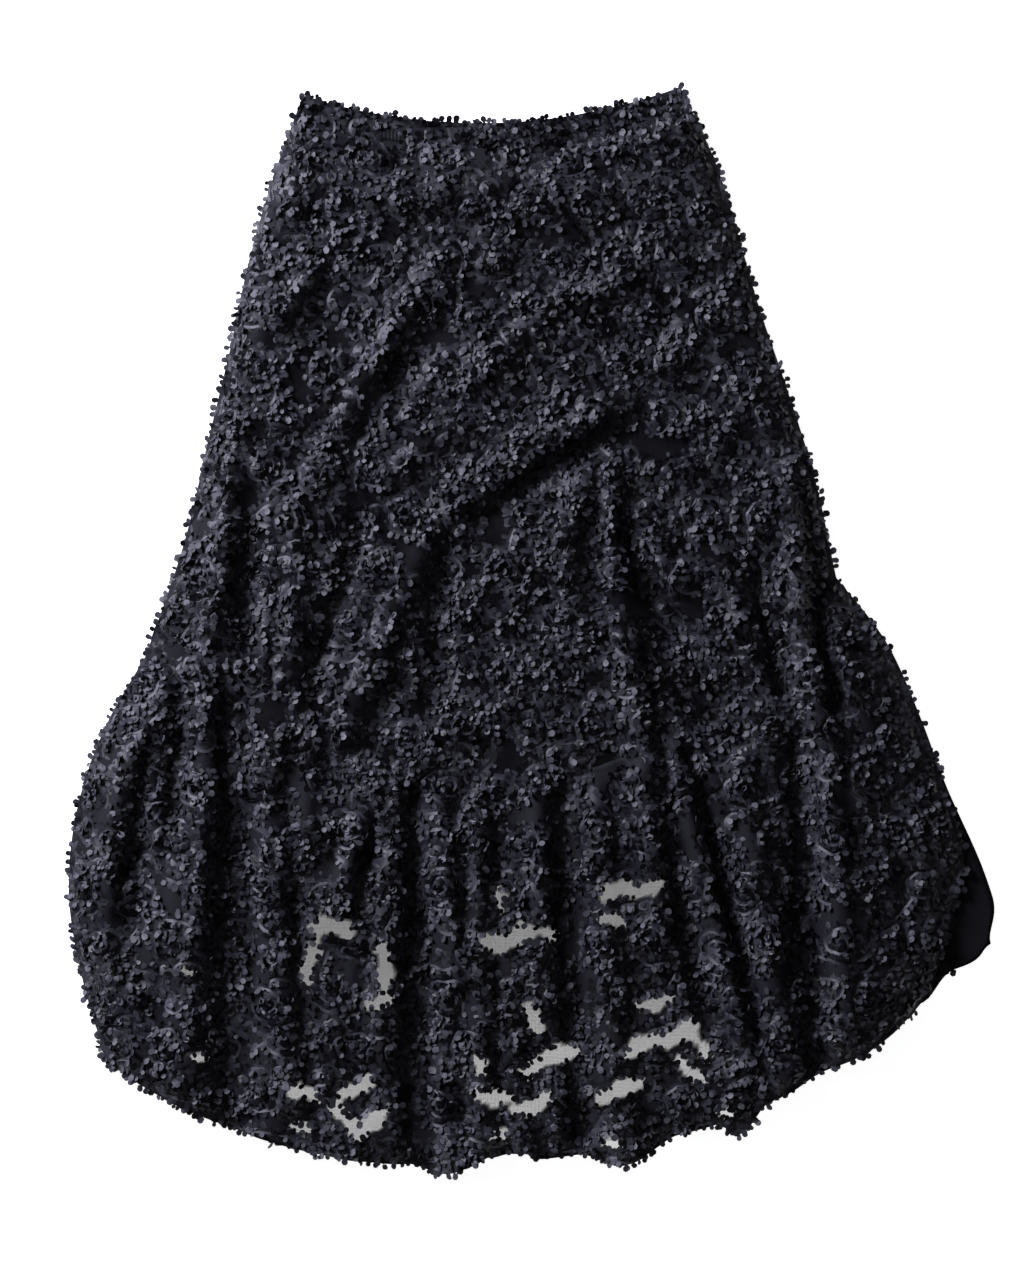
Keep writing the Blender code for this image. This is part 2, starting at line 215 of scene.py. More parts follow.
def cloth_sheet(name, columns, rows, place, thickness, material):
    """A grid laid on a cloth's form, and thickened to half of its thickness on both sides.

    place gives x, y and z in mm for the share of the length and the place across.
    """
    bpy.ops.object.select_all(action="DESELECT")
    bpy.ops.mesh.primitive_grid_add(x_subdivisions=columns, y_subdivisions=rows, size=2)
    sheet = bpy.context.object
    sheet.name = sheet.data.name = name
    flat = np.empty(len(sheet.data.vertices) * 3)
    sheet.data.vertices.foreach_get("co", flat)
    across, share = (flat[0::3] + 1) / 2, (1 - flat[1::3]) / 2
    x, y, z = place(share, across)
    sheet.data.vertices.foreach_set("co", (np.stack((x, y, z), -1) * MM).ravel())
    corner = np.empty(len(sheet.data.loops), dtype=np.int32)
    sheet.data.loops.foreach_get("vertex_index", corner)
    cloth = sheet.data.uv_layers[0]
    cloth.name = "cloth"
    cloth.uv.foreach_set("vector", (np.stack((x, y), -1)[corner] * MM).ravel())
    sheet.data.update()
    wall = sheet.modifiers.new("thickness", "SOLIDIFY")
    wall.thickness = thickness * MM
    wall.offset = 0.0
    bpy.ops.object.modifier_apply(modifier=wall.name)
    sheet.data.shade_smooth()
    sheet.data.materials.append(material)
    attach(sheet, "root")
    return sheet


# Bare strips of the net near the hem, where light comes through both halves of the ruffle.
# The width is half of the strip's, and swells and narrows along it. The bow is how far its
# middle bends.
Gap = namedtuple("Gap", "start end width bow")
GAPS = (
    Gap((-203, -283), (-176, -288), 6.0, 3),
    Gap((-204, -306), (-212, -332), 5.5, -3),
    Gap((-142, -305), (-139, -338), 5.5, 3),
    Gap((-152, -357), (-134, -352), 4.5, -2),
    Gap((-329, -325), (-321, -326), 3.5, 1),
    Gap((-319, -408), (-311, -407), 3.5, 1),
    Gap((-227, -440), (-204, -446), 4.5, 3),
    Gap((-176, -438), (-154, -431), 5.0, -3),
    Gap((-184, -457), (-163, -480), 5.0, 2),
    Gap((-163, -480), (-140, -457), 5.5, -2),
    Gap((-222, -474), (-208, -477), 4.5, 2),
    Gap((-32, -249), (-29, -264), 4.5, 2),
    Gap((-42, -298), (-10, -290), 7.0, -5),
    Gap((-4, -292), (20, -292), 3.5, 4),
    Gap((0, -364), (5, -382), 5.5, 2),
    Gap((-3, -421), (42, -402), 5.5, 4),
    Gap((-50, -442), (-22, -445), 6.0, -3),
    Gap((-14, -458), (16, -445), 5.5, -4),
    Gap((-50, -408), (-48, -420), 4.0, 2),
    Gap((-34, -482), (-26, -482), 4.0, 1),
    Gap((74, -253), (96, -248), 6.0, 3),
    Gap((92, -250), (123, -241), 4.5, -4),
    Gap((70, -276), (87, -280), 5.5, 2),
    Gap((102, -359), (131, -350), 4.5, -4),
    Gap((94, -404), (122, -390), 6.0, 4),
    Gap((118, -392), (150, -378), 6.0, -4),
    Gap((148, -386), (166, -408), 3.5, 4),
    Gap((144, -412), (163, -427), 4.5, -3),
    Gap((69, -446), (104, -432), 5.5, 3),
    Gap((74, -487), (79, -489), 6.0, 1),
    Gap((182, -459), (187, -461), 4.0, 1),
)
GAP_SWELL = 0.3

# How much of what is behind it the net hides where it lies in gathers, and the shares of a
# panel that are sewn double. Around a gap it clears over a soft rim, in mm.
DOUBLED = 0.96
SEAM_ALLOWANCE, SIDE_ALLOWANCE, HEM_ALLOWANCE = 0.05, 0.06, 0.07
GAP_RIM, GAP_SOFTNESS = 3, 0.25
# Painted shade in the upper gaps: how much more of the floor the net hides, at a low and at a higher
# place.
SHADE_HEIGHTS, GAP_SHADES = (-400, -320), (0.0, 0.11)


def from_gaps(x, y, reach):
    """Distance from the nearest gap, as a share: 1 on its edge once it has grown by reach mm."""
    nearest = np.full_like(x, np.inf)
    for number, gap in enumerate(GAPS):
        start_x, start_y = gap.start
        run_x, run_y = gap.end[0] - start_x, gap.end[1] - start_y
        dx, dy = x - start_x, y - CENTRE_SHIFT - start_y
        length = math.hypot(run_x, run_y)
        along = np.clip((dx * run_x + dy * run_y) / length**2, 0, 1)
        bent = gap.bow / length * (1 - (2 * along - 1) ** 2)
        swell = 1 + GAP_SWELL * np.sin(along * 8 + number)
        distance = np.hypot(dx - along * run_x + bent * run_y, dy - along * run_y - bent * run_x)
        nearest = np.minimum(nearest, distance / (gap.width * swell + reach))
    return nearest


def mark_doubled_and_shade(sheet, rows, top_seam):
    """Marks how far the net hides what is behind it, from 0 to 1.

    It lies doubled at its seams, sides and hem, and all over the ruffle outside the gaps. In the
    upper gaps it hides more of the floor, as painted shade.
    """
    flat = np.empty(len(sheet.data.vertices) * 3)
    sheet.data.vertices.foreach_get("co", flat)
    x, y = flat[0::3] / MM, flat[1::3] / MM
    share, across = unplan(rows, x, y)
    from_side = np.minimum(across, 1 - across)
    doubled_and_shade = ramp(2 - 2 * from_side / SIDE_ALLOWANCE)
    if top_seam:
        doubled_and_shade = np.maximum(doubled_and_shade, share < BAND_END + SEAM_ALLOWANCE)
    else:
        hem = ramp((share - 1 + HEM_ALLOWANCE) / (HEM_ALLOWANCE / 2))
        outside = ramp((from_gaps(x, y, GAP_RIM) - 1) / GAP_SOFTNESS)
        doubled_and_shade = np.maximum(doubled_and_shade, np.maximum(hem, DOUBLED) * outside)
        # Painted shade: the net hides more of the floor in the upper gaps, so that they look darker.
        doubled_and_shade = np.maximum(doubled_and_shade, np.interp(y, SHADE_HEIGHTS, GAP_SHADES))
    mark = sheet.data.attributes.new("doubled_and_shade", "FLOAT", "POINT")
    mark.data.foreach_set("value", doubled_and_shade)


# The ruffle starts just below its seam, and its hem waves by a few mm. Its right corner is
# drawn in from these shares of its length and width on, and has a notch beside it.
BACK_SEAM, HEM_WAVE = 0.001, 5
CORNER_DOWN, CORNER_ACROSS, CORNER_IN = 0.86, 0.95, 3
NOTCH_X, NOTCH_HALF, NOTCH_DEPTH = 400, 26, 2


def back_place(rows, first, hem_wave):
    """The back lies flat. Its free hem waves a little, most beside its rounded right corner."""
    def place(share, across):
        x, y = plan(rows, first + (1 - first) * share, across)
        low = ramp((share - CORNER_DOWN) / (1 - CORNER_DOWN))
        corner = low * ramp((across - CORNER_ACROSS) / (1 - CORNER_ACROSS))
        x, y = x - CORNER_IN * hem_wave * corner**2, y - hem_wave * corner**2
        wave = (1 + np.sin(x / 8.3) * np.sin(x / 13 + 1)) / 2
        wave = wave + NOTCH_DEPTH * bell(np.abs(x - NOTCH_X) / NOTCH_HALF)
        return x, y + hem_wave * share**8 * wave, np.full_like(x, BACK_NET_LEVEL)
    return place


BACK_NET = net_finish("black_net_back")
flat_body, flat_ruffle = back_place(BODY, BAND_END, 0), back_place(RUFFLE_BACK, BACK_SEAM, HEM_WAVE)
body_back = cloth_sheet("body_back_net", 40, 50, flat_body, NET_THICKNESS, BACK_NET)
ruffle_back = cloth_sheet("ruffle_back_net", 150, 80, flat_ruffle, NET_THICKNESS, BACK_NET)
mark_doubled_and_shade(body_back, BODY, top_seam=True)
mark_doubled_and_shade(ruffle_back, RUFFLE_BACK, top_seam=False)
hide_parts("body_back")
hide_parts("ruffle_back")

# Lining
# Two plain satin panels hang free from the waistband, inside both tiers. Their hem arches
# up in the middle, and below it the net can be seen through.

LiningRow = namedtuple("LiningRow", "share left_x left_y right_x right_y")
LINING_SIDES = (
    LiningRow(0.00, -214, 476, 141, 484),
    LiningRow(0.23, -268, 300, 204, 320),
    LiningRow(0.46, -312, 120, 259, 150),
    LiningRow(0.65, -352, -26, 282, 55),
    LiningRow(0.82, -398, -160, 347, -110),
    LiningRow(1.00, -408, -295, 380, -282),
)
LINING_TOP_SAG, LINING_HEM_RISE, LINING_CURVE = 28.0, 53.0, 2.0
LINING_LEVELS = {"lining_back": 2.8, "lining_front": 4.1}
LINING_WAVE, LINING_THICKNESS = 0.25, 0.4

LINING_ROWS = tuple(
    Section(*row, LINING_TOP_SAG * (1 - row.share) - LINING_HEM_RISE * row.share, LINING_CURVE)
    for row in LINING_SIDES
)


def lining_place(level):
    """The lining lies almost flat, with two slow waves that cross."""
    def place(share, across):
        x, y = plan(LINING_ROWS, share, across)
        wave = np.sin(x / 31 + y / 90) + np.sin(x / 17 - y / 55)
        return x, y, level + LINING_WAVE * wave / 2
    return place


SATIN_BLACK = (0.006, 0.006, 0.008, 1.0)
satin = Finish("black_satin", {"Base Color": SATIN_BLACK, "Specular IOR Level": 0.25})
satin_grain = satin.node(
    "TexNoise", None, {"Vector": satin.node("UVMap", {"uv_map": "cloth"}), "Scale": 900.0}
)
satin.set({"Roughness": 0.42 + satin_grain * 0.12})
satin.bump(satin_grain, 0.00006)

for node, level in LINING_LEVELS.items():
    place = lining_place(level)
    lining = cloth_sheet(node + "_satin", 36, 44, place, LINING_THICKNESS, satin.material)
    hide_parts(node)

# Front of the skirt
# The front body and ruffle are the same net, with the folds in which the skirt lies. The
# ruffle is gathered on a curved seam, and its folds run on from those of the body.

RUFFLE_FRONT = (
    SEAM._replace(share=0.0),
    Section(0.20, -405, -98, 337, -13, 169, 2.3),
    Section(0.40, -431, -176, 369, -82, 167, 2.3),
    Section(0.60, -438, -256, 393, -152, 160, 2.3),
    Section(0.80, -425, -335, 411, -228, 148, 2.3),
    Section(1.00, -402, -413, 380, -341, 129, 2.3),
)

# The hem isn't even. Around each x, within its width, it hangs lower by its drop, in mm, or
# higher where the drop is below zero.
HemShift = namedtuple("HemShift", "x width drop")
HEM_SHIFTS = (
    HemShift(-81, 34, 8),
    HemShift(-22, 34, -15),
    HemShift(92, 48, 17),
    HemShift(200, 24, 17),
    HemShift(215, 130, 7),
    HemShift(335, 70, 14),
)

# A fold's line curves from its start towards its bend and on to its end. It has half widths
# at its two ends and heights at its start, middle and end. A hollow's heights are below zero.
Fold = namedtuple("Fold", "start bend end widths heights")

BODY_FOLDS = (
    Fold((-222, 486), (-42, 428), (147, 490), (17, 17), (-4, -7, -7)),
    Fold((-218, 418), (-60, 404), (150, 408), (34, 34), (4, 9, 3)),
    Fold((-92, 352), (-138, 268), (-213, 121), (16, 18), (3, 9, 5)),
    Fold((-60, 330), (-100, 262), (-160, 190), (22, 26), (-2, -5, -3)),
    Fold((-92, 352), (-80, 325), (-88, 292), (13, 13), (2, 5, 2)),
    Fold((-190, 366), (-215, 325), (-246, 280), (18, 20), (3, 6, 3)),
    Fold((-196, 400), (-185, 330), (-205, 250), (14, 18), (-1, -3, -1)),
    Fold((34, 314), (-19, 273), (-69, 223), (16, 18), (3, 9, 4)),
    Fold((96, 346), (72, 326), (50, 292), (18, 18), (3, 8, 3)),
    Fold((138, 320), (128, 290), (110, 262), (16, 16), (-2, -6, -2)),
    Fold((95, 214), (30, 196), (-55, 128), (18, 20), (4, 12, 5)),
    Fold((92, 188), (32, 160), (-48, 106), (18, 22), (-5, -10, -6)),
    Fold((-60, 192), (-105, 165), (-158, 120), (16, 16), (3, 8, 3)),
    Fold((-60, 145), (-108, 70), (-172, -96), (15, 22), (4, 12, 9)),
    Fold((-158, 120), (-170, 60), (-184, 0), (18, 19), (-4, -9, -5)),
    Fold((-86, 112), (-84, 40), (-88, -75), (18, 26), (-4, -9, -6)),
    Fold((60, 152), (24, 112), (42, 18), (16, 18), (4, 10, 5)),
    Fold((76, 163), (76, 35), (112, -136), (14, 18), (5, 13, 12)),
    Fold((90, 82), (130, 2), (184, -100), (18, 38), (-6, -15, -15)),
    Fold((112, 112), (118, 65), (150, 10), (15, 15), (3, 7, 3)),
    Fold((175, 72), (200, 10), (226, -70), (15, 16), (3, 9, 6)),
    Fold((200, 394), (184, 362), (168, 332), (17, 16), (3, 7, 2)),
    Fold((214, 72), (217, 10), (238, -60), (13, 14), (-3, -8, -6)),
    Fold((248, 188), (246, 60), (272, -85), (16, 18), (5, 12, 13)),
    Fold((268, 34), (278, -20), (290, -78), (15, 17), (-5, -12, -8)),
    Fold((-289, 149), (-292, 54), (-308, -50), (15, 18), (3, 9, 6)),
    Fold((-262, 130), (-262, 64), (-270, -30), (17, 20), (-4, -9, -6)),
    Fold((-219, 116), (-223, 45), (-230, -69), (15, 17), (3, 9, 6)),
    Fold((-186, 30), (-198, -15), (-206, -66), (14, 15), (-3, -7, -4)),
)

RUFFLE_FOLDS = (
    Fold((-356, -60), (-394, -140), (-402, -262), (17, 22), (4, 9, 4)),
    Fold((-332, -62), (-334, -130), (-344, -215), (14, 17), (-5, -12, -6)),
    Fold((-362, -110), (-376, -200), (-378, -330), (20, 26), (-4, -10, -5)),
    Fold((-334, -200), (-340, -260), (-332, -330), (13, 15), (2, 7, 3)),
    Fold((-306, -72), (-312, -200), (-330, -445), (15, 26), (7, 13, 9)),
    Fold((-280, -80), (-278, -230), (-278, -462), (21, 32), (-11, -17, -13)),
    Fold((-246, -86), (-249, -250), (-226, -450), (15, 23), (6, 11, 10)),
    Fold((-205, -100), (-212, -170), (-222, -250), (13, 13), (4, 7, 3)),
    Fold((-218, -205), (-222, -260), (-224, -300), (13, 14), (-2, -6, -2)),
    Fold((-148, -150), (-160, -190), (-192, -290), (13, 15), (4, 9, 6)),
    Fold((-152, -170), (-148, -215), (-162, -268), (13, 14), (-4, -8, -3)),
    Fold((-185, -340), (-192, -430), (-172, -500), (15, 21), (2, 5, 8)),
    Fold((-131, -160), (-131, -250), (-143, -420), (13, 20), (4, 9, 8)),
    Fold((-110, -162), (-106, -300), (-103, -508), (14, 29), (-8, -14, -13)),
    Fold((-86, -162), (-80, -240), (-66, -335), (13, 15), (5, 9, 7)),
    Fold((-50, -165), (-48, -300), (-45, -500), (13, 18), (4, 9, 9)),
    Fold((-30, -168), (-30, -205), (-34, -250), (14, 15), (-2, -7, -2)),
    Fold((-16, -300), (-20, -400), (-6, -500), (14, 18), (2, 5, 8)),
    Fold((8, -158), (10, -240), (8, -350), (13, 16), (5, 9, 6)),
    Fold((30, -158), (33, -290), (50, -475), (15, 23), (-8, -14, -11)),
    Fold((66, -150), (68, -300), (92, -505), (14, 20), (5, 9, 10)),
    Fold((106, -136), (114, -190), (124, -310), (15, 19), (9, 10, 7)),
    Fold((136, -210), (148, -290), (174, -410), (14, 22), (-5, -12, -8)),
    Fold((132, -112), (158, -200), (206, -410), (13, 14), (5, 10, 8)),
    Fold((152, -122), (181, -235), (214, -385), (13, 15), (-6, -11, -6)),
    Fold((200, -130), (218, -270), (244, -435), (15, 23), (6, 13, 11)),
    Fold((250, -110), (264, -240), (272, -405), (20, 27), (-9, -17, -13)),
    Fold((280, -90), (290, -215), (300, -395), (13, 18), (8, 11, 8)),
    Fold((282, -40), (300, -200), (306, -390), (46, 66), (4, 9, 7)),
    Fold((350, -97), (376, -212), (372, -325), (13, 15), (1, 3, 2)),
)

GATHERS, GATHER_SEED = 38, 11
BODY_CREASES, RUFFLE_CREASES, CREASE_SEED = 70, 60, 23
FOLD_STEPS = 10

# Heights of the front, in mm. It lies on the back at its edges, and on the lining further in,
# where slack cloth stands up by its ease. Folds grow less as they near the limit.
EDGE_BASE, FRONT_BASE, NET_ABOVE_BASE = 2.3, 4.9, 1.2
BODY_EASE, RUFFLE_EASE, LIFT_LIMIT = 6.5, 9.0, 26.0
BAND_TOP = 6.7

# Shares of the width and the length over which the front comes down at its edges and its
# folds fade, over which the ruffle gains its ease, and over which the body meets the band.
SIDE_ROLL, SIDE_FADE, HEM_FADE = 0.012, 0.05, 0.92
EASE_REACH, BAND_REACH = 0.3, 1.6


def gathers():
    """Short uneven gathers that run down from the seam of the ruffle."""
    chance = random.Random(GATHER_SEED)
    rows = []
    for number in range(GATHERS):
        across = (number + chance.uniform(0.25, 0.75)) / GATHERS
        lean = chance.uniform(-0.006, 0.006)
        reach = chance.uniform(0.16, 0.36)
        height = chance.uniform(2, 3.5)
        shares = np.array([0.01, reach / 2, reach])
        x, y = plan(RUFFLE_FRONT, shares, across + lean * np.array([0, 0.5, 1]))
        points = list(zip(x, y - CENTRE_SHIFT))
        rows.append(Fold(*points, (11, 12), (1, height, 0)))
    return tuple(rows)


def creases():
    """Small soft creases, too fine for the solids: along the body's pull and the ruffle's fall."""
    chance = random.Random(CREASE_SEED)
    rows = []
    for _ in range(BODY_CREASES):
        x, y = chance.uniform(-290, 240), chance.uniform(-120, 450)
        turn = math.radians(chance.gauss(-118, 22))
        length = chance.uniform(30, 80)
        end = (x + length * math.cos(turn), y + length * math.sin(turn))
        turn += 0.25
        bend = (x + length / 2 * math.cos(turn), y + length / 2 * math.sin(turn))
        rows.append(Fold((x, y), bend, end, (7, 8), (0, chance.uniform(-2.2, 2.6), 0)))
    for _ in range(RUFFLE_CREASES):
        share, across = chance.uniform(0.1, 0.75), chance.uniform(0.04, 0.96)
        shares = share + np.array([0, 0.5, 1]) * chance.uniform(0.12, 0.35)
        x, y = plan(RUFFLE_FRONT, shares, across + np.array([0, 0.004, 0]) * chance.uniform(-1, 1))
        points = list(zip(x, y - CENTRE_SHIFT))
        rows.append(Fold(*points, (7, 9), (0, chance.uniform(-3, 4.5), 0)))
    return tuple(rows)


FOLDS = BODY_FOLDS + RUFFLE_FOLDS + gathers() + creases()


def fold_heights(x, y):
    """Height of all the folds over the points x, y, in mm."""
    total = np.zeros_like(x)
    y = y - CENTRE_SHIFT
    t = np.linspace(0, 1, FOLD_STEPS)[:, None]
    for fold in FOLDS:
        start, bend, end = (np.array(point, dtype=float) for point in fold[:3])
        line = (1 - t) ** 2 * start + 2 * t * (1 - t) * bend + t**2 * end
        low, high = line.min(0) - max(fold.widths), line.max(0) + max(fold.widths)
        near = np.flatnonzero((x > low[0]) & (x < high[0]) & (y > low[1]) & (y < high[1]))
        px, py = x[near], y[near]
        nearest, place = np.full(px.shape, np.inf), np.zeros_like(px)
        for step in range(FOLD_STEPS - 1):
            ax, ay = line[step]
            run_x, run_y = line[step + 1] - line[step]
            along = ((px - ax) * run_x + (py - ay) * run_y) / (run_x**2 + run_y**2)
            along = np.clip(along, 0, 1)
            distance = np.hypot(px - ax - along * run_x, py - ay - along * run_y)
            place = np.where(distance < nearest, (step + along) / (FOLD_STEPS - 1), place)
            nearest = np.minimum(nearest, distance)
        width = np.interp(place, (0, 1), fold.widths)
        total[near] += np.interp(place, (0, 0.5, 1), fold.heights) * bell(nearest / width)
    return total


def front_level(x, y, share, across, ruffle):
    """Height of the front net: the layers under it, its ease, and its folds."""
    from_side = np.minimum(across, 1 - across)
    calm = ramp(from_side / SIDE_FADE)
    lowered = np.clip(from_side / SIDE_ROLL, 0, 1)
    ease = BODY_EASE
    if ruffle:
        lowered = lowered * ramp((1 - share) / (1 - HEM_FADE))
        ease = BODY_EASE + (RUFFLE_EASE - BODY_EASE) * ramp(share / EASE_REACH)
    base = EDGE_BASE + (FRONT_BASE - EDGE_BASE) * lowered + NET_ABOVE_BASE
    lift = np.maximum(ease + fold_heights(x, y), 0)
    level = base + calm * LIFT_LIMIT * np.tanh(lift / LIFT_LIMIT)
    if ruffle:
        return level
    on_band = ramp((BAND_REACH - share / BAND_END) / (BAND_REACH - 1))
    return level + (BAND_TOP - level) * on_band


def hem_drop(x):
    """How far the front hem hangs below its section at x."""
    return sum(shift.drop * bell(np.abs(x - shift.x) / shift.width) for shift in HEM_SHIFTS)


def unplan_ruffle(x, y):
    """The share and the place across on the front ruffle, whose hem hangs lower in places."""
    share, _ = unplan(RUFFLE_FRONT, x, y)
    return unplan(RUFFLE_FRONT, x, y + hem_drop(x) * share**2)


def unplan_body(x, y):
    """The share and the place across on the body."""
    return unplan(BODY, x, y)


def body_place(share, across):
    """The front body starts under the waistband."""
    share = BAND_END + (1 - BAND_END) * share
    x, y = plan(BODY, share, across)
    return x, y, front_level(x, y, share, across, ruffle=False)


def ruffle_place(share, across):
    """The front ruffle runs from the seam to its uneven hem."""
    x, y = plan(RUFFLE_FRONT, share, across)
    y = y - hem_drop(x) * share**2
    return x, y, front_level(x, y, share, across, ruffle=True)


FRONT_NET = net_finish("black_net_front")
body_front = cloth_sheet("body_front_net", 80, 90, body_place, NET_THICKNESS, FRONT_NET)
ruffle_front = cloth_sheet("ruffle_front_net", 190, 80, ruffle_place, NET_THICKNESS, FRONT_NET)
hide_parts("body_front")
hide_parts("ruffle_front")
mark_doubled_and_shade(body_front, BODY, top_seam=True)
mark_doubled_and_shade(ruffle_front, RUFFLE_FRONT, top_seam=False)

# Lace of the front
# Narrow soft ribbon, cut in round tabs along both edges, is sewn on the net by its middle:
# coiled in roses, and in loose curls between them. Its two edges stand up like petals.

ROSE_PITCH, ROW_PITCH, ROSE_SHIFT, ROSE_SEED = 57.0, 0.87, 7.0, 4
CURL_LENGTHS, CURLS_A_SIDE, CURL_SHIFT, CURL_SPREADS = (34, 66), 3, 16, (11, 9)
STITCH_STEP, STITCH_BREAK = 3.3, 2.5
GAP_REACH, GAP_MARGIN = 6.0, 4.5
RIBBON_HALF = 3.0
TAB_LENGTH, TAB_NECK, TAB_RADIUS, TAB_THICKNESS, TAB_CUP = 3.1, 1.8, 2.6, 0.3, 0.2
TAB_SWEEP, TAB_YAW, TAB_SIZES, TAB_SPREAD = 125, 22, (0.75, 1.3), 0.6
# The ribbon's tone: a base for the strips, a random share for each tab, and a share of painted light
# and shade in patches.
STRIP_SHADE, TAB_SHADE, PAINTED_LIGHT_SHARE = 0.2, 0.6, 0.4

# The pile leans this way and that by this slope, in patches. From this height up it also
# leans down the skirt, as if brushed. Scaled by the patch range, the same wandering paints light
# and shade into the ribbon's colour.
PILE_LEAN, PATCH_RANGE = 0.28, 3.2
WAIST_LEAN, WAIST_FROM, WAIST_FADE = 0.34, 442.0, 16.0

# Pressed lace lies in a thin layer, with its middle this high above the surface.
PRESSED_LEVEL = 0.35

# Stitches have a place, the ribbon's direction, the side that its first edge is on, and the
# number of their path.
Stitches = namedtuple("Stitches", "x y run_x run_y hand path")

# Where a panel has ribbon: from which share of its length, how far in from its sides, as a
# share of its width, and down to which share of its length.
Reach = namedtuple("Reach", "top side hem")
BODY_REACH, BODY_EDGES = Reach(0.002, 0.006, 1), Reach(0.002, 0.002, 1)
RUFFLE_REACH, RUFFLE_EDGES = Reach(0, 0.006, 0.985), Reach(0, 0.0015, 0.995)


def rose_centres():
    """A staggered net of roses over the whole skirt, each a little off its place."""
    chance = random.Random(ROSE_SEED)
    centres = []
    for row in range(-11, 12):
        for column in range(-9, 10):
            x = (column + row % 2 / 2) * ROSE_PITCH + chance.uniform(-1, 1) * ROSE_SHIFT
            y = row * ROSE_PITCH * ROW_PITCH + chance.uniform(-1, 1) * ROSE_SHIFT
            centres.append((x, y + CENTRE_SHIFT))
    return centres


def even_points(x, y):
    """Points one stitch apart along a line, with the line's direction at each."""
    length = np.concatenate(([0], np.cumsum(np.hypot(np.diff(x), np.diff(y)))))
    marks = np.arange(0, length[-1], STITCH_STEP)
    px, py = np.interp(marks, length, x), np.interp(marks, length, y)
    run_x, run_y = np.gradient(px), np.gradient(py)
    size = np.hypot(run_x, run_y)
    return px, py, run_x / size, run_y / size


def rose_line(centre, chance):
    """A spiral of two to three uneven turns."""
    t = np.linspace(0, 1, 160)
    turns = chance.uniform(2.3, 3.0) * 2 * math.pi * chance.choice((-1, 1))
    angle = chance.uniform(0, 2 * math.pi) + turns * t**0.75
    wobble = 1 + 0.09 * np.sin(3 * angle + chance.uniform(0, 6)) + 0.05 * np.sin(7 * angle)
    radius = (2.5 + chance.uniform(17.5, 21) * t) * wobble
    squash = chance.uniform(0.86, 1.1)
    x, y = centre[0] + radius * np.cos(angle) * squash, centre[1] + radius * np.sin(angle)
    return x, y, math.copysign(1, turns)


def curl_line(centre, chance):
    """A C or an S of loose ribbon."""
    t = np.linspace(0, 1, 60)
    length = chance.uniform(*CURL_LENGTHS)
    bend = length / chance.uniform(9, 17)
    swing = bend * (t - t**2 * chance.choice((0, 1))) * chance.choice((-1, 1))
    heading = chance.uniform(0, 2 * math.pi) + swing * 1.4
    x, y = np.cumsum(np.cos(heading)), np.cumsum(np.sin(heading))
    scale = length / len(t)
    hand = chance.choice((-1, 1))
    return centre[0] + (x - x.mean()) * scale, centre[1] + (y - y.mean()) * scale, hand


def gather_stitches(lines):
    """All the lines of one kind as arrays of stitches."""
    columns = [[] for _ in Stitches._fields]
    for number, (x, y, hand) in enumerate(lines):
        px, py, run_x, run_y = even_points(x, y)
        extra = np.full(len(px), hand), np.full(len(px), number)
        for column, values in zip(columns, (px, py, run_x, run_y, *extra)):
            column.append(values)
    return Stitches(*(np.concatenate(column) for column in columns))


def keep(stitches, chosen):
    """The chosen ones of the stitches."""
    return Stitches(*(values[chosen] for values in stitches))


def rose_lines(seed):
    """A rose on each of the centres."""
    chance = random.Random(seed)
    return [rose_line(centre, chance) for centre in rose_centres()]


def curl_lines(seed, crowd):
    """Curls in the hollows between the roses."""
    chance = random.Random(seed)
    lines = []
    for x, y in rose_centres():
        for side in (-1, 1):
            for _ in range(CURLS_A_SIDE):
                if chance.random() >= crowd:
                    continue
                beside, above = (chance.gauss(0, spread) for spread in CURL_SPREADS)
                place = x + ROSE_PITCH / 2 + beside, y + side * CURL_SHIFT + above
                lines.append(curl_line(place, chance))
    return lines


def gap_lines():
    """A ribbon around each gap, so that its tabs scallop the gap's edge."""
    lines = []
    for number, gap in enumerate(GAPS):
        start, end = np.array(gap.start, dtype=float), np.array(gap.end, dtype=float)
        heading = math.atan2(*(end - start)[::-1])
        turn = np.linspace(0, 2 * math.pi, 60)
        middle = np.where(np.cos(turn)[:, None] > 0, end, start)
        reach = gap.width + GAP_REACH + np.sin(3 * turn + number)
        x = middle[:, 0] + reach * np.cos(turn + heading)
        y = middle[:, 1] + reach * np.sin(turn + heading) + CENTRE_SHIFT
        lines.append((x, y, 1))
    return lines


def clear_of_gaps(stitches):
    """Stitches outside the bare strips of net."""
    return keep(stitches, from_gaps(stitches.x, stitches.y, GAP_MARGIN) > 1)


def on_panel(stitches, find, reach):
    """Stitches that lie on a panel, a little inside its edges."""
    share, across = find(stitches.x, stitches.y)
    inside = (across > reach.side) & (across < 1 - reach.side)
    return keep(stitches, inside & (share > reach.top) & (share < reach.hem))


def unit(vectors):
    """The vectors' directions, at length 1."""
    return vectors / np.linalg.norm(vectors, axis=-1, keepdims=True)


def pile_lean(x, y, turn):
    """How far the pile leans over, as a slope that wanders from patch to patch."""
    wander = np.sin(x / 9.7 + 1.3 * np.sin(y / 13 + turn)) * np.cos(y / 11.3 - x / 31 + turn)
    return PILE_LEAN * (wander + 0.6 * np.sin(x / 23 - y / 17 + 2 * turn))


def frames_on(level, stitches, leaning):
    """Root, run, side and up of each stitch, from the slope of the cloth and the pile's lean."""
    x, y = stitches.x, stitches.y
    z = level(x, y)
    slope_x, slope_y = level(x + 1, y) - z, level(x, y + 1) - z
    if leaning:
        brushed_down = WAIST_LEAN * ramp((y - WAIST_FROM) / WAIST_FADE)
        slope_x = slope_x + pile_lean(x, y, 0)
        slope_y = slope_y + pile_lean(x, y, 2) + brushed_down
    up = unit(np.stack((-slope_x, -slope_y, np.ones_like(z)), -1))
    rise = stitches.run_x * slope_x + stitches.run_y * slope_y
    run = unit(np.stack((stitches.run_x, stitches.run_y, rise), -1))
    side = np.cross(up, run) * -stitches.hand[:, None]
    return np.stack((x, y, z), -1), run, side, up


